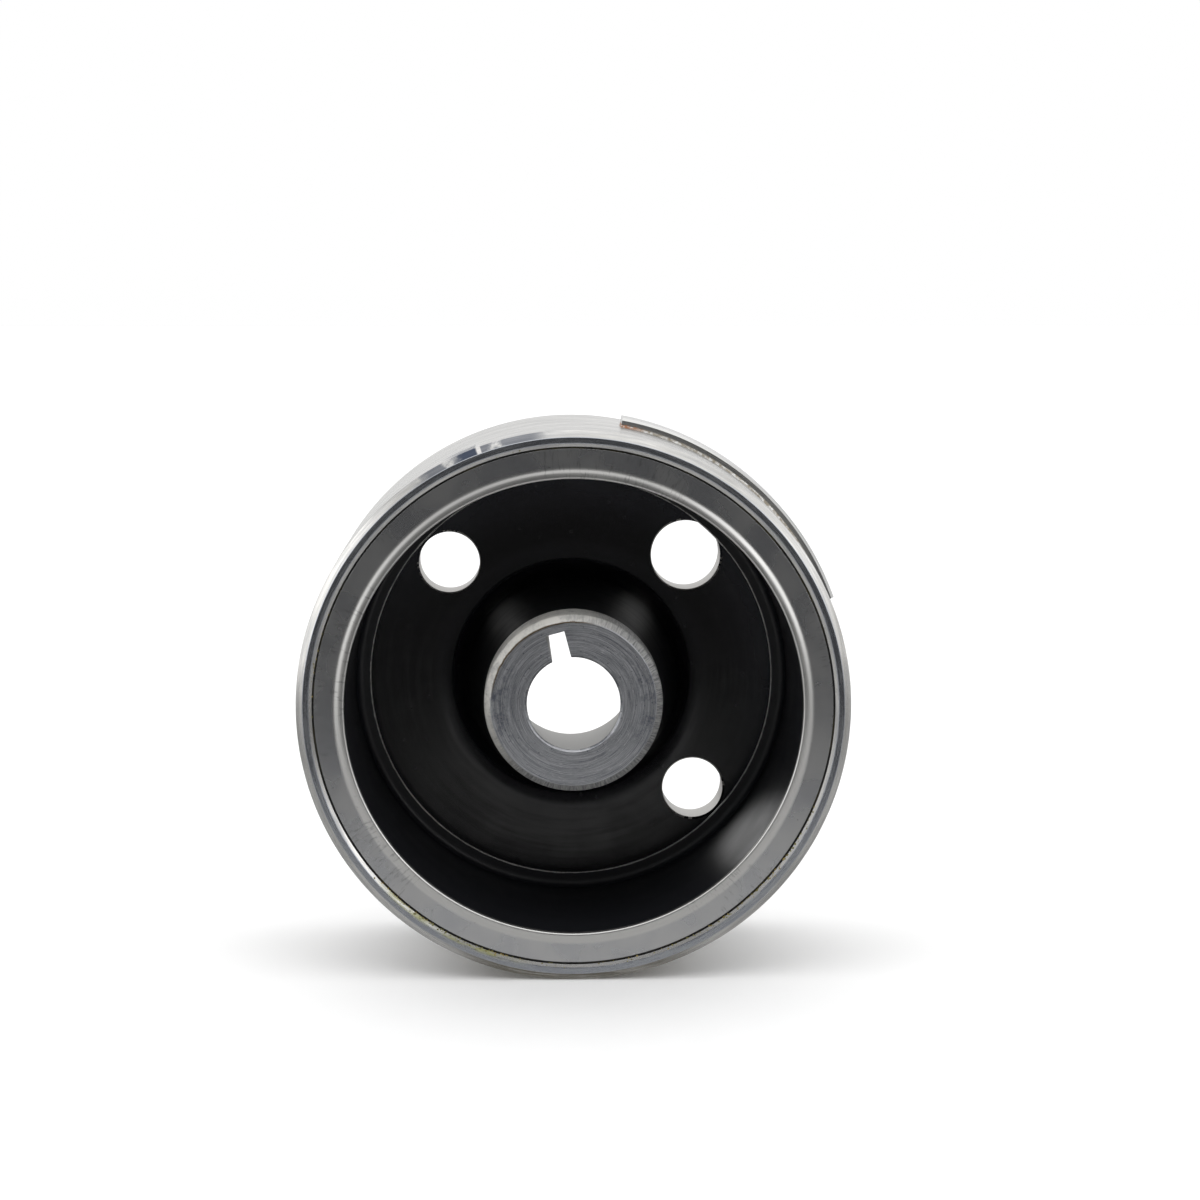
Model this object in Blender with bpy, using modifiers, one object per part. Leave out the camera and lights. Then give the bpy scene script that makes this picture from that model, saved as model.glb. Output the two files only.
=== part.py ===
"""Magneto flywheel rotor: a forged steel cup with a keyed taper hub, which carries a ring of arc magnets
in a moulded cage, a drawn magnet cover with a rolled lip, and a raised trigger strip on its rim.

Frame: metres, +Z up. The shaft axis is Y, the open (stator) side faces -Y, and the origin is on the axis
in the plane of the hub's rear face, where the taper is widest. Each piece is modelled about its own Z
axis with the open side up, and hangs on the empty "shaft_axis", which lays that Z axis along -Y. Angles
are counted anticlockwise from +X, seen from the open side.
"""

import math

import bmesh
import bpy

MM = 0.001

# Forged cup (millimetres from here on)
RIM_RADIUS = 58.0
ROTOR_WIDTH = 55.5
RIM_WALL = 3.4
WEB_THICKNESS = 9.3
MOUTH_CHAMFER_RADIAL = 1.5
MOUTH_CHAMFER_AXIAL = 1.0
MOUTH_BEVEL_RADIAL = 0.85
MOUTH_BEVEL_AXIAL = 0.4
BACK_CHAMFER = 1.0
FRONT_LAND_WIDTH = 24.0
LAND_STEP = 0.15

# Turned relief on the rear face, between the hub seat and the rim seat
RELIEF_DEPTH = 0.5
HUB_SEAT_RADIUS = 23.0
RIM_SEAT_WIDTH = 6.0

# Hub
HUB_RADIUS = 18.9
HUB_SETBACK = 6.0
HUB_CHAMFER = 1.5
NOSE_LENGTH = 10.0
FLARE_FILLET_RADIUS = 5.2
FLARE_FOOT_RADIUS = 28.7
FILLET_STEPS = 4

# Taper bore, 1 in 5 on diameter, and its keyway
BORE_FRONT_RADIUS = 9.8
BORE_TAPER = 0.2
BORE_CHAMFER = 0.5
KEYWAY_WIDTH = 4.1
KEYWAY_ROOT_RADIUS = 15.4
KEYWAY_ANGLE = 104.8

# Through holes in the web, at three corners of a square: (angle in degrees, diameter)
WEB_HOLE_CIRCLE_RADIUS = 37.25
WEB_HOLES = ((136.5, 13.5), (46.8, 15.4), (-43.1, 13.5))

# Magnets and their cage
MAGNET_COUNT = 12
MAGNET_THICKNESS = 5.6
MAGNET_EDGE = 0.5
CAGE_RIB_WIDTH = 3.0
CAGE_BASE_HEIGHT = 3.0

# Drawn magnet cover
SHEET = 0.5
COVER_SETBACK = 1.0
COVER_MOUTH_GAP = 0.4
LIP_WIDTH = 2.15
LIP_HEIGHT = 0.55
LIP_CROWN = 1.05
LIP_EDGE = 0.4
COVER_FILLET_RADIUS = 2.8
COVER_FOOT_FLAT = 0.6

# Trigger strip
STRIP_START = 19.6
STRIP_END = 79.6
STRIP_WIDTH = 10.0
STRIP_HEIGHT = 2.0
STRIP_EDGE = 0.6

# Clearance between pieces that touch on the real rotor, and between a cutter and what it clears
FIT_GAP = 0.3
CUT_MARGIN = 1.0

# Facets round a full circle, and along one magnet, one cage pocket and the trigger strip
ROTOR_STEPS = 96
COVER_STEPS = 72
HOLE_STEPS = 32
PLATE_STEPS = 6
STRIP_STEPS = 16
SHARP_ANGLE = math.radians(30)

# Heights above the hub's rear face
web_front = WEB_THICKNESS + RELIEF_DEPTH
hub_face = ROTOR_WIDTH - HUB_SETBACK
nose_end = hub_face - NOSE_LENGTH
land_end = ROTOR_WIDTH - FRONT_LAND_WIDTH
cover_face = ROTOR_WIDTH - COVER_SETBACK
cover_foot = web_front + FIT_GAP
cage_low = web_front + FIT_GAP
pocket_floor = cage_low + CAGE_BASE_HEIGHT
magnet_low = pocket_floor + FIT_GAP
magnet_high = cover_face - 2 * SHEET - FIT_GAP

# Radii of the ring of pieces inside the rim, from the rim inwards
rim_bore_radius = RIM_RADIUS - RIM_WALL
magnet_outer_radius = rim_bore_radius - FIT_GAP
magnet_inner_radius = magnet_outer_radius - MAGNET_THICKNESS
cover_outer_radius = magnet_inner_radius - FIT_GAP
cover_inner_radius = cover_outer_radius - SHEET
rear_land_radius = RIM_RADIUS - LAND_STEP


def make_material(name, colour, metallic, roughness):
    material = bpy.data.materials.new(name)
    material.use_nodes = True
    shader = material.node_tree.nodes["Principled BSDF"]
    shader.inputs["Base Color"].default_value = (*colour, 1.0)
    shader.inputs["Metallic"].default_value = metallic
    shader.inputs["Roughness"].default_value = roughness
    material.diffuse_color = (*colour, 1.0)
    return material


def arc(centre, radius, start_deg, end_deg, steps):
    """Points (radius from the axis, height) along an arc in the profile plane, both ends included."""
    points = []
    for i in range(steps + 1):
        angle = math.radians(start_deg + (end_deg - start_deg) * i / steps)
        points.append((centre[0] + radius * math.cos(angle), centre[1] + radius * math.sin(angle)))
    return points


def add_object(name, mesh, collection, angle_deg=0.0):
    item = bpy.data.objects.new(name, mesh)
    collection.objects.link(item)
    item.parent = shaft_axis
    item.rotation_euler.z = math.radians(angle_deg)
    return item


def profile_object(name, points, closed, angle_deg, span_deg, steps):
    """An object with a profile in its XZ plane, swept round Z through span_deg by a Screw modifier."""
    count = len(points)
    edges = [(i, (i + 1) % count) for i in range(count if closed else count - 1)]
    mesh = bpy.data.meshes.new(name)
    mesh.from_pydata([(r * MM, 0.0, z * MM) for r, z in points], edges, [])
    item = add_object(name, mesh, part_collection, angle_deg)
    screw = item.modifiers.new("turn", "SCREW")
    screw.angle = math.radians(span_deg)
    screw.steps = steps
    screw.render_steps = steps
    screw.merge_threshold = 0.00001
    return item


def turned(name, points, steps):
    """A fully turned solid. The closed profile runs down its outer side first."""
    return profile_object(name, points, True, 0.0, 360.0, steps)


def curved_plate(name, inner_radius, thickness, low, high, span_deg, steps, edge=0.0):
    """A plate bent round the axis: an open curved wall, thickened outwards, centred on +X."""
    wall = [(inner_radius, high), (inner_radius, low)]
    item = profile_object(name, wall, False, -span_deg / 2, span_deg, steps)
    solidify = item.modifiers.new("thickness", "SOLIDIFY")
    solidify.thickness = thickness * MM
    solidify.offset = 1.0
    solidify.use_even_offset = True
    if edge:
        bevel = item.modifiers.new("edges", "BEVEL")
        bevel.width = edge * MM
        bevel.segments = 1
        bevel.limit_method = "ANGLE"
        bevel.angle_limit = SHARP_ANGLE
    return item


def rod_cutter(name, radius, x, y, low, high):
    """A round cutter along Z."""
    mesh = bpy.data.meshes.new(name)
    bm = bmesh.new()
    bmesh.ops.create_cone(bm, cap_ends=True, segments=HOLE_STEPS, radius1=radius * MM,
                          radius2=radius * MM, depth=(high - low) * MM)
    bm.to_mesh(mesh)
    bm.free()
    item = add_object(name, mesh, cutter_collection)
    item.location = (x * MM, y * MM, (low + high) / 2 * MM)
    return item


def slot_cutter(name, width, reach, angle_deg, low, high):
    """A flat-sided cutter from the axis out to a radius."""
    mesh = bpy.data.meshes.new(name)
    bm = bmesh.new()
    bmesh.ops.create_cube(bm, size=MM)
    bmesh.ops.scale(bm, vec=(reach, width, high - low), verts=bm.verts)
    bmesh.ops.translate(bm, vec=(reach / 2 * MM, 0.0, (low + high) / 2 * MM), verts=bm.verts)
    bm.to_mesh(mesh)
    bm.free()
    return add_object(name, mesh, cutter_collection, angle_deg)


def cut(item, cutter):
    if cutter.name in part_collection.objects:
        part_collection.objects.unlink(cutter)
        cutter_collection.objects.link(cutter)
    cutter.hide_render = True
    cutter.display_type = "WIRE"
    boolean = item.modifiers.new(cutter.name, "BOOLEAN")
    boolean.operation = "DIFFERENCE"
    boolean.solver = "EXACT"
    boolean.object = cutter


def finish(item, material):
    """Applies the modifiers, then shades the round faces smooth and keeps the corners sharp."""
    bpy.context.view_layer.update()
    evaluated = item.evaluated_get(bpy.context.evaluated_depsgraph_get())
    mesh = bpy.data.meshes.new_from_object(evaluated)
    mesh.name = item.name
    item.modifiers.clear()
    item.data = mesh
    mesh.materials.clear()
    mesh.materials.append(material)
    mesh.shade_smooth()
    mesh.set_sharp_from_angle(angle=SHARP_ANGLE)
    return item


def bore_radius_at(height):
    return BORE_FRONT_RADIUS + (hub_face - height) * BORE_TAPER / 2


def hub_flare():
    """The hub's side below its bare nose: a cone that runs into the web through a fillet."""
    foot_centre = (FLARE_FOOT_RADIUS, web_front + FLARE_FILLET_RADIUS)
    return arc(foot_centre, FLARE_FILLET_RADIUS, 180, 270, FILLET_STEPS)


def rotor_profile():
    rim_seat_edge = rear_land_radius - BACK_CHAMFER - RIM_SEAT_WIDTH
    outside = [
        (RIM_RADIUS - MOUTH_CHAMFER_RADIAL, ROTOR_WIDTH),
        (RIM_RADIUS, ROTOR_WIDTH - MOUTH_CHAMFER_AXIAL),
        (RIM_RADIUS, land_end),
        (rear_land_radius, land_end - LAND_STEP),
        (rear_land_radius, BACK_CHAMFER),
    ]
    back = [
        (rear_land_radius - BACK_CHAMFER, 0.0),
        (rim_seat_edge, 0.0),
        (rim_seat_edge - RELIEF_DEPTH, RELIEF_DEPTH),
        (HUB_SEAT_RADIUS + RELIEF_DEPTH, RELIEF_DEPTH),
        (HUB_SEAT_RADIUS, 0.0),
    ]
    bore = [
        (bore_radius_at(0.0) + BORE_CHAMFER, 0.0),
        (bore_radius_at(BORE_CHAMFER), BORE_CHAMFER),
        (bore_radius_at(hub_face - BORE_CHAMFER), hub_face - BORE_CHAMFER),
        (BORE_FRONT_RADIUS + BORE_CHAMFER, hub_face),
    ]
    nose = [
        (HUB_RADIUS - HUB_CHAMFER, hub_face),
        (HUB_RADIUS, hub_face - HUB_CHAMFER),
        (HUB_RADIUS, nose_end),
    ]
    inside = [
        (rim_bore_radius, web_front),
        (rim_bore_radius, ROTOR_WIDTH - MOUTH_BEVEL_AXIAL),
        (rim_bore_radius + MOUTH_BEVEL_RADIAL, ROTOR_WIDTH),
    ]
    return outside + back + bore + nose + hub_flare() + inside


def build_rotor_body():
    body = turned("rotor_body", rotor_profile(), ROTOR_STEPS)
    for index, (angle_deg, diameter) in enumerate(WEB_HOLES, start=1):
        angle = math.radians(angle_deg)
        x = WEB_HOLE_CIRCLE_RADIUS * math.cos(angle)
        y = WEB_HOLE_CIRCLE_RADIUS * math.sin(angle)
        cut(body, rod_cutter(f"web_hole_{index}", diameter / 2, x, y, -CUT_MARGIN, web_front + CUT_MARGIN))
    cut(body, slot_cutter("keyway", KEYWAY_WIDTH, KEYWAY_ROOT_RADIUS, KEYWAY_ANGLE,
                          -CUT_MARGIN, hub_face + CUT_MARGIN))
    return finish(body, forged_steel)


def build_trigger_strip():
    """A curved steel strip that stands on the rim's rear land and starts at the land's step."""
    seat_radius = rear_land_radius + FIT_GAP
    top_radius = rear_land_radius + LAND_STEP + STRIP_HEIGHT
    high = land_end - LAND_STEP - FIT_GAP
    strip = curved_plate("trigger_strip", seat_radius, top_radius - seat_radius, high - STRIP_WIDTH, high,
                         STRIP_END - STRIP_START, STRIP_STEPS, STRIP_EDGE)
    finish(strip, strip_steel)
    strip.rotation_euler.z += math.radians((STRIP_START + STRIP_END) / 2)
    return strip


def cover_profile():
    """The drawn sheet's section: flange, raised lip, wall, rounded foot, and back up behind."""
    lip_top = cover_face + LIP_HEIGHT
    foot_face = cover_foot + SHEET
    fillet_radius = cover_inner_radius - COVER_FILLET_RADIUS
    fillet_centre = (fillet_radius, foot_face + COVER_FILLET_RADIUS)
    back_fillet = COVER_FILLET_RADIUS + SHEET
    behind = [
        (rim_bore_radius - COVER_MOUTH_GAP, cover_face - SHEET),
        (cover_outer_radius + SHEET, cover_face - SHEET),
        (cover_outer_radius, cover_face - 2 * SHEET),
    ]
    behind += arc(fillet_centre, back_fillet, 0, -90, FILLET_STEPS)
    foot = [
        (fillet_radius - COVER_FOOT_FLAT, cover_foot),
        (fillet_radius - COVER_FOOT_FLAT, foot_face),
    ]
    wall = arc(fillet_centre, COVER_FILLET_RADIUS, -90, 0, FILLET_STEPS)
    lip = [
        (cover_inner_radius, lip_top - LIP_EDGE),
        (cover_inner_radius + LIP_EDGE, lip_top),
        (cover_inner_radius + LIP_CROWN, lip_top),
        (cover_inner_radius + LIP_WIDTH, cover_face),
    ]
    flange = [(rim_bore_radius - COVER_MOUTH_GAP, cover_face)]
    return behind + foot + wall + lip + flange


def build_magnet_cover():
    return finish(turned("magnet_cover", cover_profile(), COVER_STEPS), stainless)


def width_angle(width):
    """The angle that a width takes up at the middle of the magnets' thickness."""
    return math.degrees(width / ((magnet_inner_radius + magnet_outer_radius) / 2))


def build_magnet_cage():
    """A moulded ring on the web, with a rib between each two magnets."""
    ring = [
        (magnet_outer_radius, magnet_high),
        (magnet_outer_radius, cage_low),
        (magnet_inner_radius, cage_low),
        (magnet_inner_radius, magnet_high),
    ]
    cage = turned("magnet_cage", ring, COVER_STEPS)
    pocket_span = pole_pitch - width_angle(CAGE_RIB_WIDTH)
    for index in range(MAGNET_COUNT):
        pocket = curved_plate(f"pocket_{index + 1:02d}", magnet_inner_radius - CUT_MARGIN,
                              MAGNET_THICKNESS + 2 * CUT_MARGIN, pocket_floor,
                              magnet_high + CUT_MARGIN, pocket_span, PLATE_STEPS)
        pocket.rotation_euler.z += math.radians(index * pole_pitch)
        cut(cage, pocket)
    return finish(cage, cage_resin)


def build_magnets():
    """Twelve like arc magnets, which share one mesh."""
    span = pole_pitch - width_angle(CAGE_RIB_WIDTH + 2 * FIT_GAP)
    first = curved_plate("magnet_01", magnet_inner_radius, MAGNET_THICKNESS, magnet_low, magnet_high,
                         span, PLATE_STEPS, MAGNET_EDGE)
    finish(first, ferrite)
    for index in range(1, MAGNET_COUNT):
        copy = add_object(f"magnet_{index + 1:02d}", first.data, part_collection)
        copy.rotation_euler.z = first.rotation_euler.z + math.radians(index * pole_pitch)


for leftover in list(bpy.data.objects):
    bpy.data.objects.remove(leftover)

part_collection = bpy.data.collections.new("flywheel_rotor")
cutter_collection = bpy.data.collections.new("cutters")
bpy.context.scene.collection.children.link(part_collection)
bpy.context.scene.collection.children.link(cutter_collection)

shaft_axis = bpy.data.objects.new("shaft_axis", None)
shaft_axis.rotation_euler.x = math.radians(90)
part_collection.objects.link(shaft_axis)

forged_steel = make_material("forged_steel", (0.03, 0.03, 0.035), 0.8, 0.4)
stainless = make_material("stainless", (0.45, 0.45, 0.44), 1.0, 0.3)
strip_steel = make_material("strip_steel", (0.35, 0.35, 0.35), 1.0, 0.35)
cage_resin = make_material("cage_resin", (0.03, 0.03, 0.03), 0.0, 0.6)
ferrite = make_material("ferrite", (0.05, 0.05, 0.055), 0.1, 0.7)

pole_pitch = 360.0 / MAGNET_COUNT

build_rotor_body()
build_trigger_strip()
build_magnet_cover()
build_magnet_cage()
build_magnets()
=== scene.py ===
import math

import bmesh
import bpy
from mathutils import Matrix, Vector


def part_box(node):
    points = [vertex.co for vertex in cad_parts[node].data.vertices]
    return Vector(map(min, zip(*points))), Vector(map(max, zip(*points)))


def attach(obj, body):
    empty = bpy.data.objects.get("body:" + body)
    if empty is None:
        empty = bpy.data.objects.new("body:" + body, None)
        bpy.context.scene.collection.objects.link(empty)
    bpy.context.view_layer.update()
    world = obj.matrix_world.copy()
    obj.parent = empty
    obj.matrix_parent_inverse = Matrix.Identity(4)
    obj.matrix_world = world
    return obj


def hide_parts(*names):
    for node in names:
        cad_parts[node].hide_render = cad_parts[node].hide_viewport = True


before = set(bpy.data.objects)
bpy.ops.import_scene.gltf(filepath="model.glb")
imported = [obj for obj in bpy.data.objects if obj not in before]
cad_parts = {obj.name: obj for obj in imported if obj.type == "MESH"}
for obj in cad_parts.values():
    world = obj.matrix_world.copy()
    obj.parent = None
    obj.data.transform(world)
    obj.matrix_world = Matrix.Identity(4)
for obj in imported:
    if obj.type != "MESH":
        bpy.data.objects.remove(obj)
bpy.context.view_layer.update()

# Rotor body. One steel forging, turned all over: rim, web and flared hub are a single piece. The cup is
# coated black inside; the rim, the hub's nose and every bore are left as bare machined steel.
# It fits the crankshaft's taper by the keyed bore, with the open side towards the stator.
MM = 0.001
body_low, body_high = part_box("rotor_body")
mouth = body_low.y / MM
rear = body_high.y / MM
rim_radius = body_high.x / MM
rim_wall = 3.4
rim_bore_radius = rim_radius - rim_wall
mouth_bevel_radial = 0.85
mouth_bevel_axial = 0.4
mouth_chamfer_radial = 1.5
mouth_chamfer_axial = 1.0
land_step = 0.15
front_land_width = 24.0
rear_land_radius = rim_radius - land_step
land_end = mouth + front_land_width
rear_chamfer = 1.0
rear_recess = 0.5
rear_seat_width = 7.0
hub_recess = 6.0
hub_face = mouth + hub_recess
nose_length = 10.0
nose_end = hub_face + nose_length
nose_chamfer = 1.5
web_thickness = 9.3
web_rear = rear - rear_recess
web_front = web_rear - web_thickness
hub_radius = 18.9
bore_front_radius = 9.8
flare_waist_radius = 23.4
flare_foot_radius = 28.3
web_dish = 0.28
web_dish_start = 32.0
web_dish_end = 44.6
web_dish_steps = 8
hub_seat_radius = 23.0
rim_seat_edge = rear_land_radius - rear_seat_width
bore_chamfer = 0.5
taper_on_radius = 0.1
keyway_width = 4.1
keyway_root = 15.4
keyway_angle = math.radians(104.8)
hole_circle = 37.25
web_holes = [(136.5, 13.5), (46.8, 15.4), (-43.1, 13.5)]
hole_front_chamfer = 0.25
hole_rear_chamfer = 0.3
timing_angle = math.radians(110.0)
smear_angle = math.radians(-119.0)
TURN_STEPS = 288
HOLE_STEPS = 96
ARC_STEP = math.radians(18)


def bore_radius(along):
    """The taper's radius at a place along the shaft: 1 in 5 on diameter, wider to the rear."""
    return bore_front_radius + (along - hub_face) * taper_on_radius


def softened(corners):
    """A closed outline of (radius, along, corner radius) with each corner rounded by an arc."""
    outline = []
    count = len(corners)
    for index, (radius, along, corner_radius) in enumerate(corners):
        here = Vector((radius, along))
        before = Vector(corners[index - 1][:2])
        after = Vector(corners[(index + 1) % count][:2])
        to_before = (before - here).normalized()
        to_after = (after - here).normalized()
        half = to_before.angle(to_after) / 2
        if corner_radius == 0 or half > math.radians(88):
            outline.append(tuple(here))
            continue
        nearest = min((before - here).length, (after - here).length)
        reach = min(corner_radius / math.tan(half), nearest * 0.49)
        true_radius = reach * math.tan(half)
        centre = here + (to_before + to_after).normalized() * (true_radius / math.sin(half))
        first = here + to_before * reach - centre
        last = here + to_after * reach - centre
        sweep = first.angle_signed(last)
        steps = max(2, round(abs(sweep) / ARC_STEP))
        for step in range(steps + 1):
            turned = first.copy()
            turned.rotate(Matrix.Rotation(-sweep * step / steps, 2))
            outline.append(tuple(centre + turned))
    return outline


def maths_node(tree, operation, *values):
    """A Math node in any node tree, given sockets or plain numbers."""
    node = tree.nodes.new("ShaderNodeMath")
    node.operation = operation
    for socket, value in zip(node.inputs, values):
        if isinstance(value, bpy.types.NodeSocket):
            tree.links.new(value, socket)
        else:
            socket.default_value = value
    return node.outputs[0]


def turning_tree():
    """Geometry nodes that turn an outline (x = radius, y = along the shaft) round the shaft axis."""
    tree = bpy.data.node_groups.new("turn_about_shaft", "GeometryNodeTree")
    tree.interface.new_socket("Outline", in_out="INPUT", socket_type="NodeSocketGeometry")
    tree.interface.new_socket("Steps", in_out="INPUT", socket_type="NodeSocketInt")
    tree.interface.new_socket("Start", in_out="INPUT", socket_type="NodeSocketFloat")
    tree.interface.new_socket("Sweep", in_out="INPUT", socket_type="NodeSocketFloat")
    tree.interface.new_socket("Material", in_out="INPUT", socket_type="NodeSocketMaterial")
    tree.interface.new_socket("Solid", in_out="OUTPUT", socket_type="NodeSocketGeometry")
    nodes = tree.nodes
    links = tree.links
    given = nodes.new("NodeGroupInput")
    result = nodes.new("NodeGroupOutput")
    size = nodes.new("GeometryNodeAttributeDomainSize")
    links.new(given.outputs["Outline"], size.inputs[0])
    points = size.outputs["Point Count"]
    grid = nodes.new("GeometryNodeMeshGrid")
    links.new(maths_node(tree, "ADD", given.outputs["Steps"], 1.0), grid.inputs["Vertices X"])
    links.new(points, grid.inputs["Vertices Y"])
    index = nodes.new("GeometryNodeInputIndex").outputs[0]
    row = maths_node(tree, "MODULO", index, points)
    column = maths_node(tree, "FLOOR", maths_node(tree, "DIVIDE", index, points))
    sample = nodes.new("GeometryNodeSampleIndex")
    sample.data_type = "FLOAT_VECTOR"
    links.new(given.outputs["Outline"], sample.inputs["Geometry"])
    links.new(nodes.new("GeometryNodeInputPosition").outputs[0], sample.inputs["Value"])
    links.new(row, sample.inputs["Index"])
    split = nodes.new("ShaderNodeSeparateXYZ")
    links.new(sample.outputs[0], split.inputs[0])
    share = maths_node(tree, "DIVIDE", column, given.outputs["Steps"])
    turned = maths_node(tree, "MULTIPLY", share, given.outputs["Sweep"])
    angle = maths_node(tree, "ADD", turned, given.outputs["Start"])
    sideways = maths_node(tree, "MULTIPLY", split.outputs["X"], maths_node(tree, "COSINE", angle))
    upwards = maths_node(tree, "MULTIPLY", split.outputs["X"], maths_node(tree, "SINE", angle))
    place = nodes.new("ShaderNodeCombineXYZ")
    links.new(sideways, place.inputs["X"])
    links.new(split.outputs["Y"], place.inputs["Y"])
    links.new(upwards, place.inputs["Z"])
    move = nodes.new("GeometryNodeSetPosition")
    links.new(grid.outputs["Mesh"], move.inputs["Geometry"])
    links.new(place.outputs[0], move.inputs["Position"])
    merge = nodes.new("GeometryNodeMergeByDistance")
    merge.inputs["Distance"].default_value = 0.000001
    links.new(move.outputs[0], merge.inputs["Geometry"])
    real = nodes.new("GeometryNodeRealizeInstances")
    links.new(merge.outputs[0], real.inputs["Geometry"])
    paint = nodes.new("GeometryNodeSetMaterial")
    links.new(real.outputs[0], paint.inputs["Geometry"])
    links.new(given.outputs["Material"], paint.inputs["Material"])
    links.new(paint.outputs[0], result.inputs[0])
    return tree


turn_about_shaft = turning_tree()


def set_input(modifier, name, value):
    """Sets one of a Geometry Nodes modifier's inputs by the name it has in the node group."""
    socket = modifier.node_group.interface.items_tree[name]
    modifier[socket.identifier] = value


def bake(piece):
    """Makes the piece a plain mesh, with its modifiers applied and removed."""
    bpy.context.view_layer.update()
    evaluated = piece.evaluated_get(bpy.context.evaluated_depsgraph_get())
    mesh = bpy.data.meshes.new_from_object(evaluated)
    mesh.name = piece.name
    piece.modifiers.clear()
    piece.data = mesh


def turn(name, outline, material, steps=TURN_STEPS, start=0.0, sweep=math.tau):
    """A solid turned about the shaft from a closed outline in millimetres; a part turn gets flat ends."""
    closed = list(outline) + [outline[0]]
    mesh = bpy.data.meshes.new(name)
    mesh.from_pydata([(r * MM, y * MM, 0.0) for r, y in closed], [], [])
    piece = bpy.data.objects.new(name, mesh)
    bpy.context.scene.collection.objects.link(piece)
    modifier = piece.modifiers.new("turn", "NODES")
    modifier.node_group = turn_about_shaft
    set_input(modifier, "Steps", steps)
    set_input(modifier, "Start", start)
    set_input(modifier, "Sweep", sweep)
    set_input(modifier, "Material", material)
    bake(piece)
    bm = bmesh.new()
    bm.from_mesh(piece.data)
    if sweep < math.tau:
        bmesh.ops.holes_fill(bm, edges=bm.edges)
    bmesh.ops.recalc_face_normals(bm, faces=bm.faces)
    bm.to_mesh(piece.data)
    bm.free()
    return piece


def cut_away(piece, cutter):
    """Cuts one solid out of another and removes the cutter."""
    boolean = piece.modifiers.new("cut", "BOOLEAN")
    boolean.operation = "DIFFERENCE"
    boolean.solver = "EXACT"
    boolean.object = cutter
    bake(piece)
    bpy.data.objects.remove(cutter)


def smooth(piece, sharp_degrees=32.0, crisp_from=math.inf):
    """Smooth shading with crisp corners, weighted so that flat faces stay flat up to their rounded edges.
    Every edge past crisp_from along the shaft is crisp, which keeps a face that is cut by holes flat."""
    mesh = piece.data
    mesh.shade_smooth()
    mesh.set_sharp_from_angle(angle=math.radians(sharp_degrees))
    for edge in mesh.edges:
        if min(mesh.vertices[index].co.y for index in edge.vertices) > crisp_from * MM:
            edge.use_edge_sharp = True
    weighted = piece.modifiers.new("weighted", "WEIGHTED_NORMAL")
    weighted.keep_sharp = True
    weighted.weight = 100
    bake(piece)


def ramp_node(tree, value, low, high, start=0.0, end=1.0):
    """A smooth rise from start, where the value is low, to end, where it is high."""
    node = tree.nodes.new("ShaderNodeMapRange")
    node.interpolation_type = "SMOOTHSTEP"
    node.inputs["From Min"].default_value = low
    node.inputs["From Max"].default_value = high
    node.inputs["To Min"].default_value = start
    node.inputs["To Max"].default_value = end
    tree.links.new(value, node.inputs["Value"])
    return node.outputs["Result"]


def shaft_coordinates():
    """Shader group: where a point is round, out from and along the shaft, as a seamless grain vector."""
    tree = bpy.data.node_groups.new("shaft_coordinates", "ShaderNodeTree")
    tree.interface.new_socket("Round", in_out="INPUT", socket_type="NodeSocketFloat")
    tree.interface.new_socket("Across", in_out="INPUT", socket_type="NodeSocketFloat")
    tree.interface.new_socket("Grain", in_out="OUTPUT", socket_type="NodeSocketVector")
    tree.interface.new_socket("Radius", in_out="OUTPUT", socket_type="NodeSocketFloat")
    tree.interface.new_socket("Along", in_out="OUTPUT", socket_type="NodeSocketFloat")
    tree.interface.new_socket("Angle", in_out="OUTPUT", socket_type="NodeSocketFloat")
    given = tree.nodes.new("NodeGroupInput")
    result = tree.nodes.new("NodeGroupOutput")
    place = tree.nodes.new("ShaderNodeTexCoord")
    split = tree.nodes.new("ShaderNodeSeparateXYZ")
    tree.links.new(place.outputs["Object"], split.inputs[0])
    x, y, z = split.outputs

    def maths(operation, *values):
        return maths_node(tree, operation, *values)

    square = maths("ADD", maths("MULTIPLY", x, x), maths("MULTIPLY", z, z))
    radius = maths("DIVIDE", maths("SQRT", square), MM)
    along = maths("DIVIDE", y, MM)
    angle = maths("ARCTAN2", z, x)
    across = maths("MULTIPLY", maths("ADD", radius, along), given.outputs["Across"])
    grain = tree.nodes.new("ShaderNodeCombineXYZ")
    tree.links.new(maths("MULTIPLY", maths("COSINE", angle), given.outputs["Round"]), grain.inputs["X"])
    tree.links.new(across, grain.inputs["Y"])
    tree.links.new(maths("MULTIPLY", maths("SINE", angle), given.outputs["Round"]), grain.inputs["Z"])
    tree.links.new(grain.outputs[0], result.inputs["Grain"])
    tree.links.new(radius, result.inputs["Radius"])
    tree.links.new(along, result.inputs["Along"])
    tree.links.new(angle, result.inputs["Angle"])
    return tree


shaft_group = shaft_coordinates()


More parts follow.
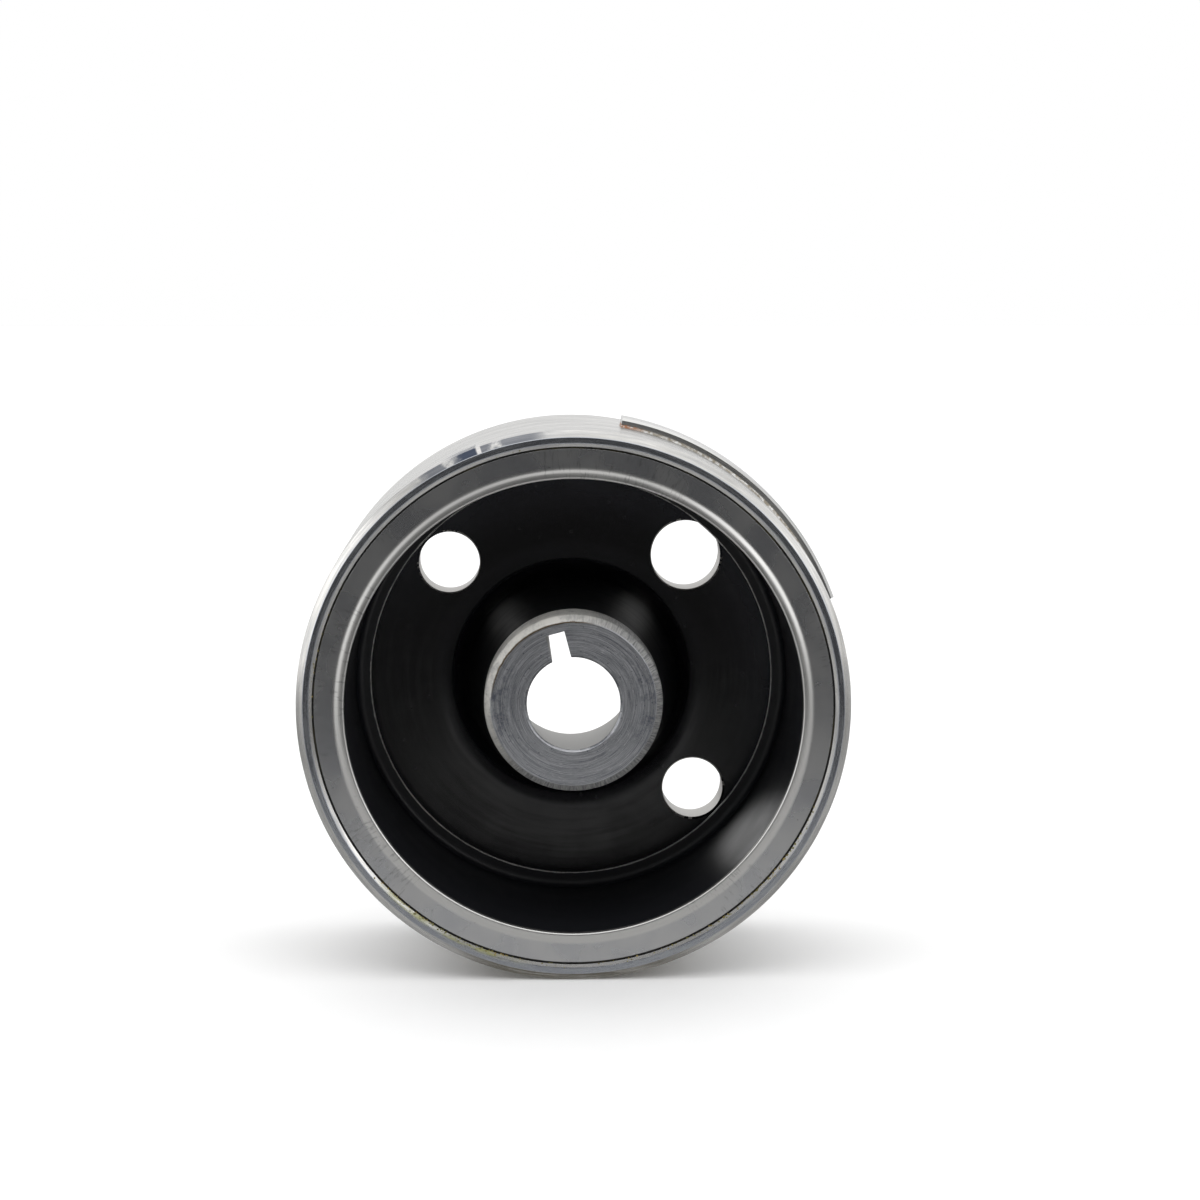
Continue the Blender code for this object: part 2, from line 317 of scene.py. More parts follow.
class Finish:
    """A surface finish in the making: one Principled shader and the patterns that drive it."""

    def __init__(self, name, colour, roughness, metallic, grooved=0.0):
        self.material = bpy.data.materials.new(name)
        self.material.use_nodes = True
        self.tree = self.material.node_tree
        self.shader = self.tree.nodes["Principled BSDF"]
        self.shader.inputs["Base Color"].default_value = (*colour, 1.0)
        self.shader.inputs["Roughness"].default_value = roughness
        self.shader.inputs["Metallic"].default_value = metallic
        if grooved:
            self.shader.inputs["Anisotropic"].default_value = grooved
            self.shader.inputs["Anisotropic Rotation"].default_value = 0.25
        self.height = None

    def maths(self, operation, *values):
        return maths_node(self.tree, operation, *values)

    def product(self, first, *others):
        """All the values multiplied together, for masks that have to agree."""
        for other in others:
            first = self.maths("MULTIPLY", first, other)
        return first

    def shaft(self, round_scale, across_scale):
        """A point's place round, out from and along the shaft, and its grain at these scales."""
        group = self.tree.nodes.new("ShaderNodeGroup")
        group.node_tree = shaft_group
        group.inputs["Round"].default_value = round_scale
        group.inputs["Across"].default_value = across_scale
        return group.outputs

    def place(self):
        return self.tree.nodes.new("ShaderNodeTexCoord").outputs["Object"]

    def noise(self, vector, scale=1.0, detail=3.0, roughness=0.5, distortion=0.0):
        node = self.tree.nodes.new("ShaderNodeTexNoise")
        node.inputs["Scale"].default_value = scale
        node.inputs["Detail"].default_value = detail
        node.inputs["Roughness"].default_value = roughness
        node.inputs["Distortion"].default_value = distortion
        self.tree.links.new(vector, node.inputs["Vector"])
        return node.outputs["Fac"]

    def spots(self, vector, scale, reach):
        """Round spots, 1 at each centre and 0 past their reach."""
        node = self.tree.nodes.new("ShaderNodeTexVoronoi")
        node.inputs["Scale"].default_value = scale
        self.tree.links.new(vector, node.inputs["Vector"])
        return self.ramp(node.outputs["Distance"], reach, 0.0)

    def ramp(self, value, low, high, start=0.0, end=1.0):
        return ramp_node(self.tree, value, low, high, start, end)

    def blend(self, amount, below, above):
        """A colour between two colours or colour sockets."""
        node = self.tree.nodes.new("ShaderNodeMix")
        node.data_type = "RGBA"
        self.tree.links.new(amount, node.inputs["Factor"])
        for socket, value in ((node.inputs[6], below), (node.inputs[7], above)):
            if isinstance(value, bpy.types.NodeSocket):
                self.tree.links.new(value, socket)
            else:
                socket.default_value = (*value, 1.0)
        return node.outputs[2]

    def use(self, socket, value):
        self.tree.links.new(value, self.shader.inputs[socket])

    def bump(self, height, distance, strength=1.0):
        """Adds relief; several bumps are chained. The distance is in millimetres."""
        node = self.tree.nodes.new("ShaderNodeBump")
        node.inputs["Strength"].default_value = strength
        node.inputs["Distance"].default_value = distance * MM
        self.tree.links.new(height, node.inputs["Height"])
        if self.height:
            self.tree.links.new(self.height, node.inputs["Normal"])
        self.height = node.outputs["Normal"]
        self.use("Normal", self.height)

    def grooved_round_shaft(self):
        """Gives the shine the stretch of tool marks that run round the shaft."""
        tangent = self.tree.nodes.new("ShaderNodeTangent")
        tangent.direction_type = "RADIAL"
        tangent.axis = "Y"
        self.use("Tangent", tangent.outputs[0])


def turned_steel():
    """Bare rim steel: fine tool lines round the shaft, tonal bands, a scribed timing line with a painted
    dark reflection beside it, a darker faced ring at the mouth, painted shade along the bottom, and a
    sticky olive smear at the gap."""
    finish = Finish("turned_steel", (0.6, 0.6, 0.59), 0.25, 1.0, grooved=0.5)
    shaft = finish.shaft(6.0, 1.6)
    lines = finish.noise(shaft["Grain"], 1.0, 5.0, 0.7)
    tones = finish.noise(finish.shaft(2.2, 0.3)["Grain"], 1.0, 3.0, 0.6)
    blotches = finish.noise(finish.place(), 220.0, 4.0, 0.65)
    faced = finish.ramp(shaft["Along"], mouth + 0.12, mouth + 0.06)
    on_rim = finish.ramp(shaft["Radius"], rim_radius - 1.9, rim_radius - 1.6, 0.25, 1.0)
    banding = finish.product(on_rim, finish.ramp(tones, 0.66, 0.34))
    bare = finish.blend(banding, (0.64, 0.63, 0.61), (0.40, 0.395, 0.38))
    streaked = finish.blend(finish.ramp(lines, 0.35, 0.75), bare, (0.42, 0.42, 0.42))

    from_line = finish.product(finish.maths("SUBTRACT", shaft["Angle"], timing_angle), rim_radius)
    beside_line = finish.maths("ABSOLUTE", from_line)
    on_land = finish.ramp(shaft["Radius"], rim_radius - 1.5, rim_radius - 1.3)
    line = finish.product(on_land, finish.ramp(shaft["Along"], mouth + 13.0, mouth + 11.0),
                          finish.ramp(beside_line, 0.55, 0.35))
    ragged = finish.maths("ADD", shaft["Along"], finish.product(blotches, 4.0))
    # Painted reflection: a dark blue-black patch beside the timing line, on the land and its chamfer.
    reflection_block = finish.product(finish.ramp(from_line, 0.5, 0.7), finish.ramp(from_line, 9.0, 3.5),
                           finish.ramp(ragged, mouth + 13.0, mouth + 10.0))
    reflection_edge = finish.product(finish.ramp(beside_line, 17.0, 11.0),
                            finish.ramp(shaft["Along"], mouth + 1.6, mouth + 0.9), 0.75)
    painted_dark_reflection = finish.product(finish.maths("MAXIMUM", reflection_block, reflection_edge), on_land, finish.ramp(blotches, 0.3, 0.5))
    with_dark_reflection = finish.blend(painted_dark_reflection, streaked, (0.05, 0.06, 0.085))
    marked = finish.blend(line, with_dark_reflection, (0.54, 0.53, 0.52))

    # Painted shade: the rim's lowest side is darkened brown, standing in for the shaded table it reflects.
    low_side = finish.ramp(finish.maths("SINE", shaft["Angle"]), -0.86, -0.97)
    off_face = finish.maths("SUBTRACT", 1.0, faced)
    at_rim = finish.ramp(shaft["Radius"], rim_radius - 2.0, rim_radius - 1.6)
    painted_bottom_shade = finish.product(low_side, off_face, at_rim, finish.ramp(lines, 0.3, 0.6, 0.5, 1.0))
    bottom_shaded = finish.blend(painted_bottom_shade, marked, (0.17, 0.16, 0.135))
    from_smear = finish.maths("COSINE", finish.maths("SUBTRACT", shaft["Angle"], smear_angle))
    smears = finish.noise(finish.shaft(9.0, 1.5)["Grain"], 1.0, 4.0, 0.7)
    sticky = finish.product(finish.ramp(shaft["Radius"], rim_bore_radius + 1.3, rim_bore_radius + 0.5),
                            finish.ramp(shaft["Along"], mouth + 1.2, mouth + 0.8),
                            finish.ramp(from_smear, 0.93, 0.985), finish.ramp(smears, 0.34, 0.6))
    faced_colour = finish.blend(finish.ramp(lines, 0.3, 0.7), (0.32, 0.335, 0.37), (0.42, 0.435, 0.46))
    base = finish.blend(faced, bottom_shaded, faced_colour)
    finish.use("Base Color", finish.blend(sticky, base, (0.27, 0.27, 0.12)))
    finish.use("Metallic", finish.maths("SUBTRACT", 1.0, finish.product(sticky, 0.8)))
    finish.use("Roughness", finish.ramp(lines, 0.25, 0.75, 0.18, 0.34))
    finish.bump(lines, 0.02, 0.35)
    finish.grooved_round_shaft()
    return finish.material


def faced_steel():
    """Hub nose steel: fine facing rings, scratches and pits, painted blue-black shade at the left and right
    sides, a tarnished ring at the edge of the face, and a duller, paler chamfer and side with bright worn
    knocks at the upper left that also paint its highlight."""
    finish = Finish("faced_steel", (0.6, 0.61, 0.64), 0.4, 1.0, grooved=0.4)
    shaft = finish.shaft(3.0, 2.4)
    rings = finish.noise(finish.shaft(1.6, 8.0)["Grain"], 1.0, 4.0, 0.8)
    fine = finish.noise(finish.shaft(12.0, 9.0)["Grain"], 1.0, 3.0, 0.6)
    mottle = finish.noise(finish.place(), 420.0, 5.0, 0.7)
    dents = finish.spots(finish.place(), 700.0, 0.16)
    edge_radius = finish.maths("ADD", shaft["Radius"], finish.product(mottle, 0.5))
    # Painted shade: the face is darkened blue-black at its left and right, where its turning marks reflect
    # little light.
    sideways = finish.ramp(finish.maths("ABSOLUTE", finish.maths("COSINE", shaft["Angle"])), 0.8, 0.99)
    outward = finish.ramp(shaft["Radius"], 12.5, 15.5)
    painted_side_shade = finish.product(sideways, outward, finish.ramp(mottle, 0.42, 0.66, 0.0, 0.7))
    scratches = finish.ramp(fine, 0.58, 0.7, 0.0, 0.8)
    steel = finish.blend(finish.ramp(rings, 0.34, 0.66), (0.22, 0.23, 0.255), (0.60, 0.61, 0.635))
    scratched = finish.blend(scratches, steel, (0.74, 0.74, 0.74))
    side_shaded = finish.blend(painted_side_shade, scratched, (0.09, 0.105, 0.15))
    pitted = finish.blend(dents, side_shaded, (0.10, 0.11, 0.13))
    from_upper_left = finish.maths("SINE", finish.maths("SUBTRACT", shaft["Angle"], 0.6))
    tarnish = finish.product(finish.ramp(edge_radius, hub_radius - 1.55, hub_radius - 1.35),
                             finish.ramp(edge_radius, hub_radius - 1.0, hub_radius - 1.2),
                             finish.ramp(from_upper_left, 0.55, 0.85))
    darkened_steel = finish.blend(tarnish, pitted, (0.16, 0.12, 0.07))
    side = finish.ramp(edge_radius, hub_radius - 1.25, hub_radius - 1.0)
    drawn = finish.noise(finish.shaft(60.0, 0.25)["Grain"], 1.0, 4.0, 0.7)
    # Worn knocks on the upper left of the chamfer and side; their pale colour also paints the highlight
    # there.
    from_highlight_side = finish.maths("COSINE", finish.maths("SUBTRACT", shaft["Angle"], 2.5))
    worn_knocks_and_highlight = finish.product(finish.ramp(from_highlight_side, -0.1, 0.8), finish.ramp(mottle, 0.3, 0.6, 0.5, 1.0))
    dull = finish.blend(finish.ramp(drawn, 0.35, 0.65), (0.26, 0.26, 0.265), (0.52, 0.52, 0.51))
    worn = finish.blend(worn_knocks_and_highlight, dull, (0.88, 0.865, 0.82))
    finish.use("Base Color", finish.blend(side, darkened_steel, worn))
    finish.use("Roughness", finish.maths("ADD", finish.ramp(rings, 0.3, 0.7, 0.32, 0.44),
                                         finish.product(side, 0.22)))
    finish.bump(rings, 0.04, 0.6)
    finish.bump(mottle, 0.03, 0.3)
    finish.grooved_round_shaft()
    return finish.material


def black_coat():
    """Black coat inside the cup: glossy and faintly blue, duller on the hub's flare, with a painted greyer
    reflection round the flare's foot, and painted lighter towards the outside of the web at the upper
    right."""
    clean = (0.001, 0.0011, 0.002)
    finish = Finish("black_coat", clean, 0.2, 0.0)
    shaft = finish.shaft(2.0, 0.8)
    film = finish.noise(finish.place(), 160.0, 4.0)
    rings = finish.noise(shaft["Grain"], 1.0, 4.0)
    smears = finish.noise(finish.shaft(9.0, 0.25)["Grain"], 1.0, 3.0)
    specks = finish.spots(finish.place(), 210.0, 0.11)
    # Painted reflection: a greyer ring round the flare's foot, where the fillet into the web reflects
    # light.
    painted_foot_reflection = finish.product(finish.ramp(shaft["Radius"], flare_foot_radius - 3.0, flare_foot_radius - 0.5),
                          finish.ramp(shaft["Radius"], flare_foot_radius + 3.2, flare_foot_radius + 0.5),
                          finish.ramp(smears, 0.3, 0.7, 0.6, 1.0))
    # Painted light: the outer web is lighter at the upper right, standing in for the light it reflects
    # there.
    from_lit_side = finish.maths("COSINE", finish.maths("SUBTRACT", shaft["Angle"], 1.15))
    painted_upper_right_light = finish.product(finish.ramp(shaft["Radius"], 33.0, 45.0), finish.ramp(from_lit_side, -0.3, 0.5),
                           finish.ramp(film, 0.3, 0.7, 0.7, 1.0))
    foot_reflected = finish.blend(painted_foot_reflection, clean, (0.0085, 0.0088, 0.0115))
    upper_right_lit = finish.blend(painted_upper_right_light, foot_reflected, (0.0155, 0.0165, 0.0225))
    finish.use("Base Color", finish.blend(specks, upper_right_lit, (0.03, 0.03, 0.032)))
    flare_dull = finish.ramp(shaft["Radius"], flare_foot_radius - 1.5, flare_foot_radius - 4.0, 0.0, 0.36)
    uneven = finish.maths("ADD", finish.ramp(film, 0.3, 0.7, 0.16, 0.21),
                          finish.ramp(rings, 0.4, 0.7, 0.0, 0.06))
    finish.use("Roughness", finish.maths("ADD", uneven, flare_dull))
    finish.bump(rings, 0.02, 0.15)
    finish.bump(smears, 0.008, 0.2)
    return finish.material


def bored_steel():
    """Cut steel in the web holes, the keyway and the bore, which is given a darker colour."""
    finish = Finish("bored_steel", (0.45, 0.44, 0.42), 0.4, 1.0)
    shaft = finish.shaft(5.0, 3.0)
    cut = finish.noise(shaft["Grain"], 1.0, 4.0, 0.6)
    clean = finish.blend(cut, (0.36, 0.35, 0.33), (0.56, 0.55, 0.53))
    darkened_steel = finish.blend(finish.ramp(cut, 0.35, 0.65), (0.17, 0.165, 0.155), (0.30, 0.295, 0.285))
    # The bore is darker than the other cut steel.
    in_bore = finish.ramp(shaft["Radius"], 17.0, 15.6)
    finish.use("Base Color", finish.blend(in_bore, clean, darkened_steel))
    finish.use("Roughness", finish.ramp(cut, 0.3, 0.7, 0.34, 0.5))
    finish.bump(cut, 0.02, 0.5)
    return finish.material


dished_web = []
for step in range(web_dish_steps + 1):
    share = step / web_dish_steps
    dish_radius = web_dish_start + (web_dish_end - web_dish_start) * share
    dished_web.append((dish_radius, web_front - web_dish * share ** 2, 0.0))
rotor_corners = [
    (rim_radius - mouth_chamfer_radial, mouth, 0.15),
    (rim_radius, mouth + mouth_chamfer_axial, 0.15),
    (rim_radius, land_end, 0.05),
    (rear_land_radius, land_end + land_step, 0.05),
    (rear_land_radius, rear - rear_chamfer, 0.2),
    (rear_land_radius - rear_chamfer, rear, 0.2),
    (rim_seat_edge, rear, 0.1),
    (rim_seat_edge - rear_recess, web_rear, 0.2),
    (hub_seat_radius + rear_recess, web_rear, 0.2),
    (hub_seat_radius, rear, 0.1),
    (bore_radius(rear) + bore_chamfer, rear, 0.1),
    (bore_radius(rear - bore_chamfer), rear - bore_chamfer, 0.1),
    (bore_radius(hub_face + bore_chamfer), hub_face + bore_chamfer, 0.1),
    (bore_front_radius + bore_chamfer, hub_face, 0.1),
    (hub_radius - nose_chamfer, hub_face, 0.25),
    (hub_radius, hub_face + nose_chamfer, 0.9),
    (hub_radius, nose_end, 0.8),
    (flare_waist_radius, web_front - 4.8, 6.0),
    (flare_foot_radius - 3.4, web_front - 1.05, 5.0),
    (flare_foot_radius, web_front, 16.0),
    *dished_web,
    (rim_bore_radius, web_front, 0.3),
    (rim_bore_radius, mouth + mouth_bevel_axial, 0.08),
    (rim_bore_radius + mouth_bevel_radial, mouth, 0.1),
]
steel_outside = turned_steel()
steel_nose = faced_steel()
coat_inside = black_coat()
steel_bored = bored_steel()
rotor = turn("rotor_body_shaped", softened(rotor_corners), steel_outside)

cutter_overrun = 2.0
for angle_degrees, diameter in web_holes:
    hole_radius = diameter / 2
    cutter = turn("hole_cutter", [
        (0.0, web_front - cutter_overrun),
        (hole_radius + cutter_overrun + hole_front_chamfer, web_front - cutter_overrun),
        (hole_radius, web_front + hole_front_chamfer),
        (hole_radius, web_rear - hole_rear_chamfer),
        (hole_radius + cutter_overrun + hole_rear_chamfer, web_rear + cutter_overrun),
        (0.0, web_rear + cutter_overrun),
    ], steel_bored, HOLE_STEPS)
    angle = math.radians(angle_degrees)
    cutter.data.transform(Matrix.Translation((hole_circle * MM * math.cos(angle), 0.0,
                                              hole_circle * MM * math.sin(angle))))
    cut_away(rotor, cutter)

key_mesh = bpy.data.meshes.new("key_cutter")
bm = bmesh.new()
bmesh.ops.create_cube(bm, size=MM)
keyway_length = rear - hub_face + 2 * cutter_overrun
bmesh.ops.scale(bm, vec=(keyway_root, keyway_length, keyway_width), verts=bm.verts)
bmesh.ops.translate(bm, vec=(keyway_root / 2 * MM, (rear + hub_face) / 2 * MM, 0.0), verts=bm.verts)
bmesh.ops.rotate(bm, cent=(0, 0, 0), matrix=Matrix.Rotation(-keyway_angle, 3, "Y"), verts=bm.verts)
bm.to_mesh(key_mesh)
bm.free()
key_cutter = bpy.data.objects.new("key_cutter", key_mesh)
bpy.context.scene.collection.objects.link(key_cutter)
cut_away(rotor, key_cutter)


def rotor_surface(centre):
    """Which of the rotor's four finishes a face has: 0 outside, 1 coat, 2 nose, 3 bored."""
    radius = math.hypot(centre.x, centre.z) / MM
    along = centre.y / MM
    for angle_degrees, diameter in web_holes:
        angle = math.radians(angle_degrees)
        from_hole = math.hypot(centre.x / MM - hole_circle * math.cos(angle),
                               centre.z / MM - hole_circle * math.sin(angle))
        if from_hole < diameter / 2 + 0.3 and along > web_front + 0.01:
            return 3
    if radius < bore_radius(along) + 0.05 or (radius < keyway_root + 0.01 and along > hub_face + 0.7):
        return 3
    if radius < hub_radius + 0.05 and along < nose_end:
        return 2
    if radius < rim_bore_radius + 0.05 and along < web_front + 0.3:
        return 1
    return 0


rotor.data.materials.clear()
for material in (steel_outside, coat_inside, steel_nose, steel_bored):
    rotor.data.materials.append(material)
for polygon in rotor.data.polygons:
    polygon.material_index = rotor_surface(polygon.center)
smooth(rotor, crisp_from=web_rear - 0.05)
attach(rotor, "root")
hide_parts("rotor_body")

# Trigger strip. A curved steel bar on the rim's rear land, read by the ignition pick-up as it passes.
# Its outer edges are broken, and a fillet of flux and residue runs along its foot, rusty at one end.
strip_low, strip_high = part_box("trigger_strip")
strip_front = strip_low.y / MM
strip_rear = strip_high.y / MM
strip_height = 2.0
strip_top = rim_radius + strip_height
strip_edge = 0.6
strip_side_top = strip_top - strip_edge
strip_foot = 0.45
strip_inner = rear_land_radius + 0.01
strip_start = math.radians(19.6)
strip_sweep = math.radians(60.0)
STRIP_STEPS = 96


def strip_steel():
    """The strip's steel, with flux along its foot that has rusted near one end."""
    finish = Finish("strip_steel", (0.52, 0.52, 0.51), 0.3, 1.0, grooved=0.3)
    shaft = finish.shaft(4.0, 2.0)
    lines = finish.noise(shaft["Grain"], 1.0, 4.0)
    at_foot = finish.ramp(shaft["Radius"], rim_radius + 0.75, rim_radius + 0.45)
    strip_end = strip_start + strip_sweep
    near_end = finish.ramp(shaft["Angle"], strip_end - 0.11, strip_end - 0.02)
    clots = finish.noise(finish.place(), 900.0, 4.0, 0.7)
    rust = finish.product(at_foot, near_end, finish.ramp(clots, 0.35, 0.55))
    flux = finish.product(at_foot, finish.ramp(clots, 0.35, 0.6))
    bare = finish.blend(lines, (0.46, 0.46, 0.455), (0.58, 0.58, 0.57))
    stained = finish.blend(flux, bare, (0.30, 0.27, 0.22))
    finish.use("Base Color", finish.blend(rust, stained, (0.34, 0.13, 0.05)))
    finish.use("Metallic", finish.ramp(rust, 0.2, 0.7, 1.0, 0.0))
    finish.use("Roughness", finish.maths("ADD", finish.ramp(lines, 0.3, 0.7, 0.24, 0.36),
                                         finish.product(flux, 0.3)))
    finish.bump(clots, 0.05, 0.3)
    return finish.material


strip = turn("trigger_strip_milled", softened([
    (strip_side_top, strip_front, 0.08),
    (strip_top, strip_front + strip_edge, 0.15),
    (strip_top, strip_rear - strip_edge, 0.15),
    (strip_side_top, strip_rear, 0.1),
    (strip_inner, strip_rear, 0.0),
    (strip_inner, strip_front - strip_foot, 0.0),
    (rim_radius + strip_foot, strip_front, 0.3),
]), strip_steel(), STRIP_STEPS, strip_start, strip_sweep)
smooth(strip)
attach(strip, "root")
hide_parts("trigger_strip")

# Magnet cover. One drawing of thin stainless sheet over the magnets: a flat flange in the rotor's mouth,
# a raised rounded lip, a straight wall and a rounded foot on the web. The wall took the cup's black coat;
# the flange and lip were rubbed bright again.
cover_low, cover_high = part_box("magnet_cover")
cover_face = cover_low.y / MM
cover_foot = cover_high.y / MM
flange_radius = cover_high.x / MM
sheet = 0.5
fit_gap = 0.3
magnet_thickness = 5.6
wall_radius = rim_bore_radius - fit_gap - magnet_thickness - fit_gap - sheet
foot_width = 3.4
foot_edge = wall_radius - foot_width
lip_height = 0.55
lip_crown = 1.05
lip_width = 2.15
SHEET_SHARP_DEGREES = 40.0


def cover_steel():
    """Stainless sheet: drawing streaks and flecks on flange and lip, the black coat on the wall and the
    foot, and a bare worn edge where the foot ends."""
    finish = Finish("cover_steel", (0.5, 0.5, 0.49), 0.3, 1.0)
    shaft = finish.shaft(90.0, 0.35)
    streaks = finish.noise(shaft["Grain"], 1.0, 3.0, 0.6)
    streaky = finish.ramp(finish.noise(finish.shaft(2.4, 0.05)["Grain"], 1.0, 2.0), 0.5, 0.62)
    clouds = finish.noise(finish.place(), 90.0, 3.0)
    flecks = finish.spots(finish.place(), 260.0, 0.07)
    edge = finish.noise(finish.place(), 500.0, 3.0)
    wall = finish.ramp(finish.maths("ADD", shaft["Along"], finish.product(edge, 0.4)),
                       cover_face + 0.5, cover_face + 0.9)
    lip = finish.ramp(shaft["Radius"], flange_radius - 3.6, flange_radius - 4.4)
    sheet_steel = finish.blend(finish.ramp(clouds, 0.35, 0.65), (0.47, 0.475, 0.49), (0.54, 0.54, 0.54))
    bare = finish.blend(lip, sheet_steel, (0.60, 0.595, 0.58))
    streaks_seen = finish.product(finish.ramp(streaks, 0.52, 0.72, 0.0, 0.6), streaky)
    streaked = finish.blend(finish.maths("MAXIMUM", streaks_seen, flecks), bare, (0.25, 0.25, 0.25))
    worn = finish.ramp(finish.maths("ADD", shaft["Radius"], finish.product(edge, 0.3)),
                       foot_edge + 0.5, foot_edge + 0.3)
    coated = finish.product(wall, finish.maths("SUBTRACT", 1.0, worn))
    finish.use("Base Color", finish.blend(coated, streaked, (0.008, 0.0085, 0.011)))
    finish.use("Metallic", finish.maths("SUBTRACT", 1.0, coated))
    finish.use("Roughness", finish.maths("ADD", finish.ramp(clouds, 0.3, 0.7, 0.25, 0.3),
                                         finish.product(lip, 0.06)))
    finish.bump(streaks, 0.006, 0.1)
    return finish.material


cover = turn("magnet_cover_drawn", softened([
    (flange_radius, cover_face + sheet, 0.05),
    (wall_radius + sheet, cover_face + sheet + 0.5, 0.2),
    (wall_radius + sheet, cover_foot, 3.3),
    (foot_edge, cover_foot, 0.1),
    (foot_edge, cover_foot - sheet, 0.22),
    (wall_radius, cover_foot - sheet, 2.8),
    (wall_radius, cover_face - lip_height, 0.5),
    (wall_radius + lip_crown, cover_face - lip_height, 2.0),
    (wall_radius + lip_width, cover_face, 1.6),
    (flange_radius, cover_face, 0.05),
]), cover_steel())
smooth(cover, SHEET_SHARP_DEGREES)
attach(cover, "root")
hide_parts("magnet_cover")

# Adhesive. A thin bead closes the gap between the cover's flange and the rim. It has oozed out in
# places and dried there as olive and brown crumbs on the rim's inner edge.
bead_set_in = 0.3
bead_depth = 0.9
bead_inner = flange_radius + 0.01
bead_outer = rim_bore_radius - 0.01
crumb_radius = 0.16
# Each clump's middle and spread round the rim in degrees, and how many crumbs it has.
crumb_clumps = [(-122, 20, 60), (-106, 26, 30), (-52, 20, 50), (-36, 16, 50), (-78, 20, 14), (172, 16, 14),
                (104, 10, 4)]


def adhesive(name, dark, light, roughness):
    """Dried adhesive, gritty and patchy between a dark and a light colour."""
    finish = Finish(name, dark, roughness, 0.0)
    patches = finish.noise(finish.shaft(5.0, 1.0)["Grain"], 1.0, 4.0, 0.7)
    grit = finish.noise(finish.place(), 1200.0, 3.0)
    finish.use("Base Color", finish.blend(finish.ramp(patches, 0.45, 0.65), dark, light))
    finish.bump(grit, 0.05, 0.5)
    return finish.material


def crumbs_tree():
    """Geometry nodes that add a clump of dried crumbs on the rim's inner bevel to what they are given."""
    tree = bpy.data.node_groups.new("adhesive_crumbs", "GeometryNodeTree")
    tree.interface.new_socket("Bead", in_out="INPUT", socket_type="NodeSocketGeometry")
    tree.interface.new_socket("Centre", in_out="INPUT", socket_type="NodeSocketFloat")
    tree.interface.new_socket("Spread", in_out="INPUT", socket_type="NodeSocketFloat")
    tree.interface.new_socket("Count", in_out="INPUT", socket_type="NodeSocketInt")
    tree.interface.new_socket("Seed", in_out="INPUT", socket_type="NodeSocketInt")
    tree.interface.new_socket("Material", in_out="INPUT", socket_type="NodeSocketMaterial")
    tree.interface.new_socket("Bead", in_out="OUTPUT", socket_type="NodeSocketGeometry")
    nodes = tree.nodes
    links = tree.links
    given = nodes.new("NodeGroupInput")
    result = nodes.new("NodeGroupOutput")

    def chance(data_type, low, high, seed_step):
        """A random value for each crumb, from a seed of its own."""
        node = nodes.new("FunctionNodeRandomValue")
        node.data_type = data_type
        sockets = [socket for socket in node.inputs if socket.enabled and socket.name in ("Min", "Max")]
        for socket, value in zip(sockets, (low, high)):
            socket.default_value = value
        seed = maths_node(tree, "ADD", given.outputs["Seed"], seed_step)
        links.new(seed, node.inputs["Seed"])
        return next(socket for socket in node.outputs if socket.enabled)

    def maths(operation, *values):
        return maths_node(tree, operation, *values)

    spread = maths("ADD", chance("FLOAT", -0.5, 0.5, 1), chance("FLOAT", -0.5, 0.5, 2))
    angle = maths("ADD", maths("MULTIPLY", spread, given.outputs["Spread"]), given.outputs["Centre"])
    outward = maths("MULTIPLY", chance("FLOAT", 0.0, 1.0, 3), chance("FLOAT", 0.0, 1.0, 4))
    out_from_edge = maths("MULTIPLY", outward, mouth_bevel_radial * MM)
    radius = maths("ADD", out_from_edge, (rim_bore_radius - 0.05) * MM)
    forward = maths("MULTIPLY", outward, mouth_bevel_axial * MM)
    place = nodes.new("ShaderNodeCombineXYZ")
    links.new(maths("MULTIPLY", maths("COSINE", angle), radius), place.inputs["X"])
    links.new(maths("SUBTRACT", (mouth + mouth_bevel_axial) * MM, forward), place.inputs["Y"])
    links.new(maths("MULTIPLY", maths("SINE", angle), radius), place.inputs["Z"])
    points = nodes.new("GeometryNodePoints")
    links.new(given.outputs["Count"], points.inputs["Count"])
    links.new(place.outputs[0], points.inputs["Position"])
    crumb = nodes.new("GeometryNodeMeshIcoSphere")
    crumb.inputs["Radius"].default_value = crumb_radius * MM
    crumb.inputs["Subdivisions"].default_value = 1
    spread_out = nodes.new("GeometryNodeInstanceOnPoints")
    links.new(points.outputs[0], spread_out.inputs["Points"])
    links.new(crumb.outputs["Mesh"], spread_out.inputs["Instance"])
    links.new(chance("FLOAT_VECTOR", (0.4, 0.25, 0.4), (1.6, 0.6, 1.6), 5), spread_out.inputs["Scale"])
    real = nodes.new("GeometryNodeRealizeInstances")
    links.new(spread_out.outputs[0], real.inputs["Geometry"])
    paint = nodes.new("GeometryNodeSetMaterial")
    links.new(real.outputs[0], paint.inputs["Geometry"])
    links.new(given.outputs["Material"], paint.inputs["Material"])
    join = nodes.new("GeometryNodeJoinGeometry")
    links.new(given.outputs["Bead"], join.inputs[0])
    links.new(paint.outputs[0], join.inputs[0])
    links.new(join.outputs[0], result.inputs[0])
    return tree


